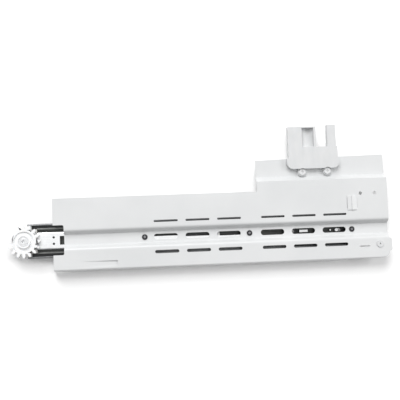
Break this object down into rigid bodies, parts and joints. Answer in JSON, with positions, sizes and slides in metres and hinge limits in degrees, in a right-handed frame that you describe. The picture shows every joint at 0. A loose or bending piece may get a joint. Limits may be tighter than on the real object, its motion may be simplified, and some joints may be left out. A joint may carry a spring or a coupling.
{
  "type": "cabinet drawer slide",
  "caption": "Full-extension ball-bearing drawer slide with a pressed white carrier plate, a rear pinion and a clip for the drawer front.",
  "frame": {"origin": "centre of the cabinet rail's mounting face, on the slide's axis", "axes": "+X towards the drawer front, +Y up when fitted, +Z from the cabinet wall towards the drawer"},
  "size_m": [0.5094, 0.1827, 0.0242],
  "materials": {
    "zinc_rail": "satin zinc plate",
    "zinc_middle": "satin zinc plate",
    "zinc_drawer": "bright zinc plate",
    "bumper_plastic": "natural nylon",
    "dark_steel": "black oxide",
    "cage_steel": "plain rolled strip",
    "ball_steel": "polished",
    "stop_rubber": "moulded",
    "white_paint": "white powder coat, satin",
    "rivet_steel": "dark plated",
    "pinion_plastic": "white acetal",
    "axle_steel": "turned",
    "clip_plastic": "moulded, fine texture",
    "screw_steel": "bright zinc"
  },
  "bodies": {
    "cabinet_member": {"outer_rail": "zinc_rail", "rear_bumper": "bumper_plastic", "stop_pin": "dark_steel"},
    "outer_cage": {"outer_ball_cage": "cage_steel", "outer_balls": "ball_steel"},
    "middle_member": {"middle_rail": "zinc_middle", "middle_rail_stop": "bumper_plastic"},
    "inner_cage": {"inner_ball_cage": "cage_steel", "inner_balls": "ball_steel"},
    "drawer_member": {"inner_rail": "zinc_drawer", "inner_rail_stop": "stop_rubber", "carrier_plate": "white_paint", "plate_rivets": "rivet_steel", "pinion_axle": "axle_steel", "axle_back_washer": "bumper_plastic", "axle_retaining_ring": "axle_steel", "clip_body": "clip_plastic", "clip_screws": "screw_steel", "clip_nuts": "screw_steel", "ear_bush": "clip_plastic"},
    "pinion": {"pinion_gear": "pinion_plastic"}
  },
  "joints": [
    {"name": "middle_slide", "type": "slide", "parent": "cabinet_member", "child": "middle_member", "axis": [1, 0, 0], "range_m": [0, 0.205]},
    {"name": "outer_cage_slide", "type": "slide", "parent": "cabinet_member", "child": "outer_cage", "axis": [1, 0, 0], "range_m": [0, 0.1025]},
    {"name": "drawer_slide", "type": "slide", "parent": "middle_member", "child": "drawer_member", "axis": [1, 0, 0], "range_m": [0, 0.215]},
    {"name": "inner_cage_slide", "type": "slide", "parent": "middle_member", "child": "inner_cage", "axis": [1, 0, 0], "range_m": [0, 0.1075]},
    {"name": "pinion_spin", "type": "hinge", "parent": "drawer_member", "child": "pinion", "pos_m": [-0.229, 0, 0.0171], "axis": [0, 0, 1], "continuous": true}
  ],
  "couplings": [
    {"joint": "outer_cage_slide", "follows": "middle_slide", "ratio": 0.5},
    {"joint": "inner_cage_slide", "follows": "drawer_slide", "ratio": 0.5}
  ]
}
